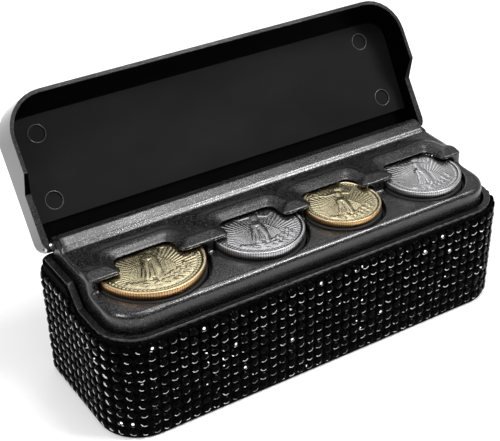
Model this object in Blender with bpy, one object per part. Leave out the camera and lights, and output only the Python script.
"""Rhinestone coin case: a shell, a sprung tray for four coins, and a lid hinged at the back.

Frame: +X runs along the case to its right end, -Y is the front, +Z is up.
The origin is the centre of the shell's underside. The lid is modelled at rest, fully open.
Sizes below are millimetres and degrees; MM turns them into Blender's metres.
"""
import math

import bmesh
import bpy
from mathutils import Matrix, Vector

MM = 0.001
WELD = 1e-6
GAP = 0.3                       # clearance between neighbouring pieces
TOUCH = 0.05                    # how close a point must be to count as lying on a surface
OVERCUT = 5.0                   # how far a cutter runs past the surface it cuts
REACH = 80.0                    # a cutter of this half width spans the whole case

# Shell
HALF_LENGTH = 51.4
HALF_DEPTH = 16.75
FRONT_RADIUS = 9.0
BACK_RADIUS = 2.5
LEAST_RADIUS = 0.6
WALL = 1.5
FLOOR = 1.8
RIM_LOW = 25.8                  # rim height over the front half
RIM_HIGH = 30.0                 # rim height over the back half
RIM_BACK = 29.2                 # back wall, lowered to let the lid roll past it
BACK_MARGIN = 0.4               # the lowered stretch starts this far inside the back wall
STEP_FRONT = -0.35              # the rim climbs between these two depths
STEP_BACK = 3.75

# Rhinestone sheets
STONE_HEIGHT = 1.5
STONE_DRAFT = 0.6               # the sheet is this much thinner at the bottom
STONE_TOP_DROP = 0.9            # bare rim left above the sheet
STONE_BACK_TOP = 28.2
LID_SHEET_INSET = 2.5

# Hinge and lid
HINGE_Y = 15.65
HINGE_Z = 31.8
LID_OPEN = 125.5
ROOF_IN = 34.1
ROOF_OUT = 36.2
ROOF_EDGE_RADIUS = 1.5
ROOF_FILLET = 1.6
RECESS_FRONT = 10.45            # the roof is thinner behind this line, over the tray's ridge
RECESS_TOP = 35.2
LID_BACK_BOTTOM = 32.8
LID_EAR_RADIUS = 1.5
MARK_RADIUS = 2.0
MARK_DEPTH = 0.25
MARKS = ((43.2, -8.55), (44.4, 6.3))
PIN_RADIUS = 0.9
PIN_HOLE_RADIUS = 1.2
PIN_INNER = 46.0
PIN_OUTER = 50.6

# Tray
TRAY_GAP = 0.7
TRAY_HALF = HALF_LENGTH - WALL - TRAY_GAP
TRAY_BACK = 14.85
SKIRT_BOTTOM = 22.0
SKIRT_WALL = 1.2
LEDGE = 30.1
LEDGE_PLATE = 1.5
TRAY_FILLET = 1.1
LIP_FRONT = -2.55
LIP_UNDER = 32.2
LIP_EDGE = 33.1
LIP_TOP = 33.6
LIP_SLOPE = 3.2                 # depth of the strip that slopes down to the lip's front edge
NOTCH_WIDTH = 14.0
NOTCH_DEPTH = 5.6
NOTCH_CORNER = 1.6              # inner corners of a notch
NOTCH_CORNER_GROWTH = 0.6       # how much they grow where the notch widens
NOTCH_OVERRUN = 2.0             # how far a notch's cutter stands out in front of the lip
TAB_CORNER = 1.5                # outer corners of the tabs between notches
LEAST_TAB_CORNER = 0.2
RIDGE_FRONT = 10.9
RIDGE_CREST = 13.2
RIDGE_TOP = 34.8
RIDGE_HALF = 48.2
EAR_INNER = 45.3
EAR_OUTER = TRAY_HALF - 0.2
EAR_RADIUS = 1.9
EAR_ROOT = 2.0                  # how far an ear runs forward into the tray

# Coins, left to right: name, radius, thickness, x
COINS = (
    ("quarter", 12.13, 1.75, -34.4),
    ("nickel", 10.605, 1.95, -8.5),
    ("dime", 8.955, 1.35, 13.15),
    ("penny", 9.525, 1.52, 36.2),
)
COIN_FRONT = -12.65             # every coin's front edge
COIN_TOP = LIP_UNDER - GAP
COIN_CHAMFER = 0.15
WELL_CLEARANCE = 0.5
TUBE_WALL = 1.2
TUBE_BOTTOM = 3.5

# Pushers, springs and their base plate
PUSHER_CLEARANCE = 0.35
PUSHER_TOP = 1.2
PUSHER_SKIRT = 4.5
PUSHER_WALL = 1.0
PUSHER_CHAMFER = 0.3
PLATE_TOP = TUBE_BOTTOM - GAP
PLATE_BOTTOM = FLOOR + GAP
PLATE_SETBACK = 3.0             # plate outline inside the tray's outline
POST_RADIUS = 2.6
POST_HEIGHT = 3.6
SPRING_RADIUS = 4.2
SPRING_WIRE = 0.6
SPRING_TURNS = 6
SPRING_POINTS_PER_TURN = 10

ROUND_SEGMENTS = 48
SMALL_SEGMENTS = 20
CORNER_SEGMENTS = 8
TIGHT_SEGMENTS = 4
FLAT_ANGLE = 0.2                # edges flatter than this many radians are never rounded

# name: (base colour, roughness, metallic)
MATERIALS = {
    "shell_black": ((0.012, 0.012, 0.013), 0.28, 0.0),
    "tray_black": ((0.030, 0.031, 0.033), 0.62, 0.0),
    "lid_black": ((0.010, 0.010, 0.011), 0.16, 0.0),
    "rhinestone_black": ((0.006, 0.006, 0.007), 0.08, 0.0),
    "coin_gold": ((0.60, 0.46, 0.22), 0.30, 1.0),
    "coin_silver": ((0.52, 0.52, 0.53), 0.30, 1.0),
    "pin_steel": ((0.55, 0.56, 0.58), 0.25, 1.0),
    "spring_steel": ((0.60, 0.60, 0.62), 0.22, 1.0),
    "pusher_black": ((0.020, 0.020, 0.022), 0.45, 0.0),
}


# --- helpers ---------------------------------------------------------------------------------

def clear_scene():
    for obj in list(bpy.data.objects):
        bpy.data.objects.remove(obj, do_unlink=True)


def new_collection(name):
    collection = bpy.data.collections.new(name)
    bpy.context.scene.collection.children.link(collection)
    return collection


def make_materials():
    for name, (colour, roughness, metallic) in MATERIALS.items():
        material = bpy.data.materials.new(name)
        material.use_nodes = True
        shader = material.node_tree.nodes["Principled BSDF"]
        shader.inputs["Base Color"].default_value = (*colour, 1.0)
        shader.inputs["Roughness"].default_value = roughness
        shader.inputs["Metallic"].default_value = metallic


def arc(centre, radius, start, end, segments=CORNER_SEGMENTS):
    """Points on an arc, angles in degrees, both ends included."""
    points = []
    for i in range(segments + 1):
        angle = math.radians(start + (end - start) * i / segments)
        points.append((centre[0] + radius * math.cos(angle), centre[1] + radius * math.sin(angle)))
    return points


def case_outline(inset=0.0, back=None):
    """The case's plan outline, moved in by inset: round front corners, tighter back ones."""
    half = HALF_LENGTH - inset
    front = -HALF_DEPTH + inset
    back = HALF_DEPTH - inset if back is None else back
    front_r = FRONT_RADIUS - inset
    back_r = max(BACK_RADIUS - inset, LEAST_RADIUS)
    return (
        arc((-half + front_r, front + front_r), front_r, 180, 270)
        + arc((half - front_r, front + front_r), front_r, 270, 360)
        + arc((half - back_r, back - back_r), back_r, 0, 90, TIGHT_SEGMENTS)
        + arc((-half + back_r, back - back_r), back_r, 90, 180, TIGHT_SEGMENTS)
    )


def mesh_object(name, mesh):
    obj = bpy.data.objects.new(name, mesh)
    scene_collection.objects.link(obj)
    return obj


def as_mesh(obj):
    """Replace a curve, or an object with modifiers, by one plain welded mesh."""
    bpy.context.view_layer.update()
    evaluated = obj.evaluated_get(bpy.context.evaluated_depsgraph_get())
    mesh = bpy.data.meshes.new_from_object(evaluated)
    bm = bmesh.new()
    bm.from_mesh(mesh)
    bmesh.ops.remove_doubles(bm, verts=bm.verts, dist=WELD)
    bmesh.ops.recalc_face_normals(bm, faces=bm.faces)
    bm.to_mesh(mesh)
    bm.free()
    mesh.transform(obj.matrix_world)
    name = obj.name
    bpy.data.objects.remove(obj, do_unlink=True)
    return mesh_object(name, mesh)


def plate(name, outline, low, high, along="Z"):
    """A flat outline extruded from low to high. Along X the outline holds (y, z) points."""
    curve = bpy.data.curves.new(name, "CURVE")
    curve.dimensions = "2D"
    curve.fill_mode = "BOTH"
    curve.extrude = (high - low) / 2 * MM
    spline = curve.splines.new("POLY")
    spline.points.add(len(outline) - 1)
    for point, (u, v) in zip(spline.points, outline):
        point.co = (u * MM, v * MM, 0.0, 1.0)
    spline.use_cyclic_u = True
    obj = mesh_object(name, curve)
    middle = (high + low) / 2 * MM
    if along == "X":
        obj.matrix_world = Matrix(((0, 0, 1, middle), (1, 0, 0, 0), (0, 1, 0, 0), (0, 0, 0, 1)))
    else:
        obj.matrix_world = Matrix.Translation((0, 0, middle))
    return as_mesh(obj)


def box(name, low, high):
    outline = [(low[0], low[1]), (high[0], low[1]), (high[0], high[1]), (low[0], high[1])]
    return plate(name, outline, low[2], high[2])


def cylinder(name, centre, radius, low, high, segments=ROUND_SEGMENTS, along="Z"):
    """A cylinder; along X its centre is (y, z), along Z it is (x, y)."""
    bm = bmesh.new()
    bmesh.ops.create_cone(bm, cap_ends=True, segments=segments, radius1=radius * MM,
                          radius2=radius * MM, depth=(high - low) * MM)
    middle = (low + high) / 2
    if along == "X":
        turn = Matrix.Rotation(math.radians(90), 4, "Y")
        place = Matrix.Translation(Vector((middle, centre[0], centre[1])) * MM) @ turn
    else:
        place = Matrix.Translation(Vector((centre[0], centre[1], middle)) * MM)
    bm.transform(place)
    mesh = bpy.data.meshes.new(name)
    bm.to_mesh(mesh)
    bm.free()
    return mesh_object(name, mesh)


def combine(target, tool, operation="DIFFERENCE"):
    """Boolean with the EXACT solver; the tool goes to the cutters' collection."""
    modifier = target.modifiers.new(tool.name, "BOOLEAN")
    modifier.object = tool
    modifier.operation = operation
    modifier.solver = "EXACT"
    for owner in list(tool.users_collection):
        owner.objects.unlink(tool)
    cutter_collection.objects.link(tool)
    tool.hide_render = True
    tool.display_type = "WIRE"


def bevel_edges(obj, wanted, radius, segments):
    """Round the edges for which wanted(midpoint in mm, edge direction) is true."""
    bm = bmesh.new()
    bm.from_mesh(obj.data)
    edges = []
    for edge in bm.edges:
        if len(edge.link_faces) != 2 or edge.calc_face_angle(0.0) < FLAT_ANGLE:
            continue
        middle = (edge.verts[0].co + edge.verts[1].co) / (2 * MM)
        direction = (edge.verts[1].co - edge.verts[0].co).normalized()
        if wanted(middle, direction):
            edges.append(edge)
    bmesh.ops.bevel(bm, geom=edges, offset=radius * MM, segments=segments, profile=0.5,
                    affect="EDGES", clamp_overlap=True)
    bmesh.ops.triangulate(bm, faces=bm.faces)
    bm.to_mesh(obj.data)
    bm.free()


def finish(obj, material, smooth_angle=35):
    obj.data.materials.clear()
    obj.data.materials.append(bpy.data.materials[material])
    obj.data.shade_smooth()
    obj.data.set_sharp_from_angle(angle=math.radians(smooth_angle))
    scene_collection.objects.unlink(obj)
    part_collection.objects.link(obj)
    return obj


def set_origin(obj, point):
    """Put the object's origin at a point given in mm, leaving its shape where it is."""
    offset = Vector(point) * MM
    obj.data.transform(Matrix.Translation(-offset))
    obj.location = offset


def above_rim(lift, back_line, back_height):
    """Side outline (y, z) of all the space above the stepped rim, raised by lift."""
    return [
        (-REACH, RIM_LOW + lift),
        (STEP_FRONT, RIM_LOW + lift),
        (STEP_BACK, RIM_HIGH + lift),
        (back_line, RIM_HIGH + lift),
        (back_line, back_height),
        (REACH, back_height),
        (REACH, REACH),
        (-REACH, REACH),
    ]


# --- shell and its rhinestone sheet ----------------------------------------------------------

def make_base_shell():
    shell = plate("base_shell", case_outline(), 0, RIM_HIGH + OVERCUT)
    combine(shell, plate("shell_cavity", case_outline(WALL), FLOOR, RIM_HIGH + 2 * OVERCUT))
    space = above_rim(0, HALF_DEPTH - WALL - BACK_MARGIN, RIM_BACK)
    combine(shell, plate("shell_rim_cut", space, -REACH, REACH, along="X"))
    return finish(as_mesh(shell), "shell_black")


def make_base_stones():
    sheet = plate("base_rhinestones", case_outline(-STONE_HEIGHT), GAP, RIM_HIGH)
    narrower = 1 - STONE_DRAFT / (HALF_DEPTH + STONE_HEIGHT)
    for vertex in sheet.data.vertices:
        if vertex.co.z < RIM_HIGH / 2 * MM:
            vertex.co.x -= math.copysign(STONE_DRAFT * MM, vertex.co.x)
            vertex.co.y *= narrower
    combine(sheet, plate("sheet_inside", case_outline(-GAP), -OVERCUT, RIM_HIGH + OVERCUT))
    space = above_rim(-STONE_TOP_DROP, HALF_DEPTH, STONE_BACK_TOP)
    combine(sheet, plate("sheet_top_cut", space, -REACH, REACH, along="X"))
    return finish(as_mesh(sheet), "rhinestone_black")


# --- tray ------------------------------------------------------------------------------------

def well_centre(radius, x):
    return (x, COIN_FRONT + radius)


def notch_loop(x, widen, z):
    """A thumb notch's outline at height z, open at the front, widened by widen all round."""
    half = NOTCH_WIDTH / 2 + widen
    back = LIP_FRONT + NOTCH_DEPTH + widen
    corner = NOTCH_CORNER + widen * NOTCH_CORNER_GROWTH
    tab = max(TAB_CORNER - widen, LEAST_TAB_CORNER)
    left_half = [(-half - tab, LIP_FRONT - NOTCH_OVERRUN)]
    left_half += arc((-half - tab, LIP_FRONT + tab), tab, -90, 0, TIGHT_SEGMENTS)
    left_half += arc((-half + corner, back - corner), corner, 180, 90, TIGHT_SEGMENTS)
    right_half = [(-px, py) for px, py in reversed(left_half)]
    return [Vector((x + px, py, z)) * MM for px, py in left_half + right_half]


def lip_slope_height(past):
    """Height of the lip's sloping strip, continued past its top end by a depth of past."""
    return LIP_TOP + past * (LIP_TOP - LIP_EDGE) / LIP_SLOPE


def make_notch_cutter(name, x):
    """A loft from the notch in the lip's edge up to its wider outline on the lip's top."""
    bm = bmesh.new()
    loops = []
    for widen, z in ((0, LIP_UNDER - GAP), (0, LIP_EDGE), (LIP_SLOPE + GAP, lip_slope_height(GAP))):
        loops.append([bm.verts.new(co) for co in notch_loop(x, widen, z)])
    for lower, upper in zip(loops, loops[1:]):
        for i in range(len(lower)):
            j = (i + 1) % len(lower)
            bm.faces.new((lower[i], lower[j], upper[j], upper[i]))
    bm.faces.new(list(reversed(loops[0])))
    bm.faces.new(loops[-1])
    bmesh.ops.triangulate(bm, faces=bm.faces)
    bmesh.ops.recalc_face_normals(bm, faces=bm.faces)
    mesh = bpy.data.meshes.new(name)
    bm.to_mesh(mesh)
    bm.free()
    return mesh_object(name, mesh)


def tray_outline(inset=0.0):
    return case_outline(WALL + TRAY_GAP + inset, TRAY_BACK - inset)


def is_tray_edge(middle, direction):
    """The tray's outer top edges, and the upright ends of its riser, but not the back."""
    if middle.z < LEDGE - TOUCH or middle.y > TRAY_BACK - LEAST_RADIUS - TOUCH:
        return False
    front = -HALF_DEPTH + WALL + TRAY_GAP
    on_side = abs(abs(middle.x) - TRAY_HALF) < TOUCH
    on_front = abs(middle.y - front) < TOUCH
    radius = FRONT_RADIUS - WALL - TRAY_GAP
    corner = Vector((TRAY_HALF - radius, front + radius))
    from_corner = (Vector((abs(middle.x), middle.y)) - corner).length
    in_corner = abs(middle.x) > corner.x and middle.y < corner.y and from_corner > radius - 2 * TOUCH
    return on_side or on_front or in_corner


def make_tray():
    tray = plate("coin_tray", tray_outline(), SKIRT_BOTTOM, LIP_TOP)
    combine(tray, box("riser_cut", (-REACH, -REACH, LEDGE), (REACH, LIP_FRONT, REACH)))
    tray = as_mesh(tray)
    bevel_edges(tray, is_tray_edge, TRAY_FILLET, 3)

    ridge = [(RIDGE_FRONT, LIP_TOP - TOUCH), (RIDGE_CREST, RIDGE_TOP), (TRAY_BACK, RIDGE_TOP),
             (TRAY_BACK, LEDGE), (RIDGE_FRONT, LEDGE)]
    combine(tray, plate("ridge", ridge, -RIDGE_HALF, RIDGE_HALF, along="X"), "UNION")
    for side, name in ((-1, "left"), (1, "right")):
        low, high = sorted((side * EAR_INNER, side * EAR_OUTER))
        root = TRAY_BACK - EAR_ROOT
        web = [(root, HINGE_Z - EAR_RADIUS)]
        web += arc((HINGE_Y, HINGE_Z), EAR_RADIUS, -90, 90)
        web += [(root, HINGE_Z + EAR_RADIUS)]
        combine(tray, plate(f"ear_{name}", web, low, high, along="X"), "UNION")

    combine(tray, plate("skirt_cavity", tray_outline(SKIRT_WALL), SKIRT_BOTTOM - OVERCUT,
                        LEDGE - LEDGE_PLATE))
    tray = as_mesh(tray)
    for name, radius, _, x in COINS:
        bore = radius + WELL_CLEARANCE
        centre = well_centre(radius, x)
        combine(tray, cylinder(f"mouth_{name}", centre, bore, TUBE_BOTTOM, LIP_UNDER))
        # The slot ends on the bore's widest flat facet, so the two cuts meet without a sliver.
        slot_half = bore * math.cos(math.pi / ROUND_SEGMENTS)
        combine(tray, box(f"slot_{name}", (x - slot_half, -HALF_DEPTH - OVERCUT, LEDGE),
                          (x + slot_half, centre[1], LIP_UNDER)))
        combine(tray, make_notch_cutter(f"notch_{name}", x))
    slope_front = LIP_FRONT - OVERCUT
    slope_back = LIP_FRONT + LIP_SLOPE + GAP
    front_slope = [(slope_front, lip_slope_height(-LIP_SLOPE - OVERCUT)),
                   (slope_back, lip_slope_height(GAP)),
                   (slope_back, LIP_TOP + OVERCUT), (slope_front, LIP_TOP + OVERCUT)]
    combine(tray, plate("front_slope_cut", front_slope, -REACH, REACH, along="X"))
    for side, name in ((-1, "left"), (1, "right")):
        low, high = sorted((side * (PIN_INNER - GAP), side * (TRAY_HALF + OVERCUT)))
        combine(tray, cylinder(f"ear_hole_{name}", (HINGE_Y, HINGE_Z), PIN_HOLE_RADIUS, low, high,
                               SMALL_SEGMENTS, "X"))
    return finish(as_mesh(tray), "tray_black")


def make_skirt_room():
    """A ring round the tubes' upper ends, where the tray's skirt passes outside them."""
    low = SKIRT_BOTTOM - GAP
    ring = plate("skirt_room", case_outline(-OVERCUT), low, LEDGE + OVERCUT)
    combine(ring, plate("skirt_inside", tray_outline(SKIRT_WALL + GAP), low - OVERCUT,
                        LEDGE + 2 * OVERCUT))
    return as_mesh(ring)


def make_wells():
    """The four tubes under the tray, flattened where they meet their neighbours and the skirt."""
    bores = [radius + WELL_CLEARANCE for _, radius, _, _ in COINS]
    centres = [x for _, _, _, x in COINS]
    walls = [-HALF_LENGTH]
    for i in range(len(COINS) - 1):
        walls.append((centres[i] + bores[i] + centres[i + 1] - bores[i + 1]) / 2)
    walls.append(HALF_LENGTH)
    high = LEDGE - LEDGE_PLATE - GAP
    for i, (name, radius, _, x) in enumerate(COINS):
        centre = well_centre(radius, x)
        tube = cylinder(f"well_{name}", centre, bores[i] + TUBE_WALL, TUBE_BOTTOM, high)
        combine(tube, cylinder(f"bore_{name}", centre, bores[i], TUBE_BOTTOM - OVERCUT,
                               high + OVERCUT))
        combine(tube, box(f"left_of_{name}", (-REACH, -REACH, 0), (walls[i] + GAP / 2, REACH, REACH)))
        combine(tube, box(f"right_of_{name}", (walls[i + 1] - GAP / 2, -REACH, 0),
                          (REACH, REACH, REACH)))
        combine(tube, make_skirt_room())
        finish(as_mesh(tube), "pusher_black")


# --- springs, pushers and coins --------------------------------------------------------------

def make_spring_plate():
    slab = plate("spring_plate", case_outline(WALL + PLATE_SETBACK), PLATE_BOTTOM, PLATE_TOP)
    for name, radius, _, x in COINS:
        post = cylinder(f"post_{name}", well_centre(radius, x), POST_RADIUS,
                        (PLATE_BOTTOM + PLATE_TOP) / 2, PLATE_TOP + POST_HEIGHT, SMALL_SEGMENTS)
        combine(slab, post, "UNION")
    return finish(as_mesh(slab), "pusher_black")


def pusher_top(thickness):
    return COIN_TOP - thickness - GAP


def make_pusher(name, radius, thickness, x):
    """A cup, open downwards, that carries the coins on its flat top. Its origin is on that top."""
    outer = radius + WELL_CLEARANCE - PUSHER_CLEARANCE
    top = pusher_top(thickness)
    centre = well_centre(radius, x)
    cup = cylinder(f"pusher_{name}", centre, outer, top - PUSHER_TOP - PUSHER_SKIRT, top)
    bevel_edges(cup, lambda middle, direction: middle.z > top - TOUCH, PUSHER_CHAMFER, 1)
    combine(cup, cylinder(f"pusher_hollow_{name}", centre, outer - PUSHER_WALL,
                          top - PUSHER_TOP - PUSHER_SKIRT - OVERCUT, top - PUSHER_TOP))
    cup = as_mesh(cup)
    set_origin(cup, (*centre, top))
    return finish(cup, "pusher_black")


def make_spring(name, radius, thickness, x):
    """A compression spring between the base plate and the pusher's underside."""
    centre = well_centre(radius, x)
    wire = SPRING_WIRE / 2
    low = PLATE_TOP + GAP + wire
    high = pusher_top(thickness) - PUSHER_TOP - GAP - wire
    count = SPRING_TURNS * SPRING_POINTS_PER_TURN + 1
    curve = bpy.data.curves.new(f"spring_{name}", "CURVE")
    curve.dimensions = "3D"
    curve.bevel_depth = wire * MM
    curve.bevel_resolution = 1
    curve.use_fill_caps = True
    spline = curve.splines.new("POLY")
    spline.points.add(count - 1)
    for i, point in enumerate(spline.points):
        share = i / (count - 1)
        angle = 2 * math.pi * SPRING_TURNS * share
        spot = Vector((centre[0] + SPRING_RADIUS * math.cos(angle),
                       centre[1] + SPRING_RADIUS * math.sin(angle), low + (high - low) * share))
        point.co = (*(spot * MM), 1.0)
    spring = as_mesh(mesh_object(f"spring_{name}", curve))
    set_origin(spring, (*centre, PLATE_TOP + GAP))
    return finish(spring, "spring_steel", 60)


def make_coin(name, radius, thickness, x, material):
    centre = well_centre(radius, x)
    coin = cylinder(f"coin_{name}", centre, radius, COIN_TOP - thickness, COIN_TOP)
    bevel_edges(coin, lambda middle, direction: abs(direction.z) < 0.5, COIN_CHAMFER, 1)
    set_origin(coin, (*centre, COIN_TOP))
    return finish(coin, material)


# --- lid -------------------------------------------------------------------------------------

def lid_cutters(shell):
    """Everything taken out of the lid's solid block, in its closed pose."""
    inside = plate("lid_cavity", case_outline(WALL), RIM_LOW - 2 * OVERCUT, ROOF_IN)
    bevel_edges(inside, lambda middle, direction: middle.z > ROOF_IN - TOUCH, ROOF_FILLET, 3)
    combine(shell, inside)
    inner_half = HALF_LENGTH - WALL
    inner_back = HALF_DEPTH - WALL
    combine(shell, box("ridge_recess", (-inner_half, RECESS_FRONT, RIM_LOW),
                       (inner_half, inner_back, RECESS_TOP)))

    parting = [(-REACH, RIM_LOW + GAP), (STEP_FRONT, RIM_LOW + GAP), (STEP_BACK, RIM_HIGH + GAP)]
    parting += arc((HINGE_Y, HINGE_Z), LID_EAR_RADIUS, -90, 0)
    parting += [(HINGE_Y + LID_EAR_RADIUS, LID_BACK_BOTTOM), (REACH, LID_BACK_BOTTOM),
                (REACH, 0), (-REACH, 0)]
    combine(shell, plate("lid_parting_cut", parting, -REACH, REACH, along="X"))

    combine(shell, box("lid_back_cut", (-inner_half, inner_back - BACK_MARGIN, 0),
                       (inner_half, REACH, LID_BACK_BOTTOM)))
    for side, name in ((-1, "left"), (1, "right")):
        low, high = sorted((side * (EAR_INNER - GAP), side * inner_half))
        combine(shell, box(f"ear_room_{name}", (low, RECESS_FRONT + TRAY_FILLET, 0),
                           (high, REACH, RECESS_TOP)))
        low, high = sorted((side * (PIN_INNER - OVERCUT), side * (PIN_OUTER + GAP)))
        combine(shell, cylinder(f"lid_hole_{name}", (HINGE_Y, HINGE_Z), PIN_HOLE_RADIUS, low, high,
                                SMALL_SEGMENTS, "X"))
        for row, (across, depth) in enumerate(MARKS):
            combine(shell, cylinder(f"mark_{name}_{row}", (side * across, depth), MARK_RADIUS,
                                    ROOF_IN - OVERCUT, ROOF_IN + MARK_DEPTH, SMALL_SEGMENTS))


def open_lid(obj):
    """Set the hinge as the origin and turn the piece to its rest pose, fully open."""
    set_origin(obj, (0, HINGE_Y, HINGE_Z))
    obj.parent = lid_pivot
    obj.location = (0, 0, 0)


def make_lid():
    shell = plate("lid_shell", case_outline(), RIM_LOW - OVERCUT, ROOF_OUT)
    bevel_edges(shell, lambda middle, direction: middle.z > ROOF_OUT - TOUCH, ROOF_EDGE_RADIUS, 4)
    lid_cutters(shell)
    shell = as_mesh(shell)
    open_lid(shell)
    return finish(shell, "lid_black")


def make_lid_stones():
    sheet = plate("lid_rhinestones", case_outline(LID_SHEET_INSET), ROOF_OUT + GAP,
                  ROOF_OUT + STONE_HEIGHT)
    open_lid(sheet)
    return finish(sheet, "rhinestone_black")


def make_pins():
    for side, name in ((-1, "left"), (1, "right")):
        low, high = sorted((side * PIN_INNER, side * PIN_OUTER))
        pin = cylinder(f"hinge_pin_{name}", (HINGE_Y, HINGE_Z), PIN_RADIUS, low, high,
                       SMALL_SEGMENTS, "X")
        set_origin(pin, ((low + high) / 2, HINGE_Y, HINGE_Z))
        finish(pin, "pin_steel")


clear_scene()
scene_collection = bpy.context.scene.collection
part_collection = new_collection("coin_case")
cutter_collection = new_collection("cutters")
make_materials()

lid_pivot = bpy.data.objects.new("lid_pivot", None)
part_collection.objects.link(lid_pivot)
lid_pivot.location = Vector((0, HINGE_Y, HINGE_Z)) * MM
lid_pivot.rotation_euler = (-math.radians(LID_OPEN), 0, 0)

make_base_shell()
make_base_stones()
make_tray()
make_wells()
make_spring_plate()
make_lid()
make_lid_stones()
make_pins()
for index, (coin_name, coin_radius, coin_thickness, coin_x) in enumerate(COINS):
    make_pusher(coin_name, coin_radius, coin_thickness, coin_x)
    make_spring(coin_name, coin_radius, coin_thickness, coin_x)
    make_coin(coin_name, coin_radius, coin_thickness, coin_x,
              "coin_gold" if index % 2 == 0 else "coin_silver")
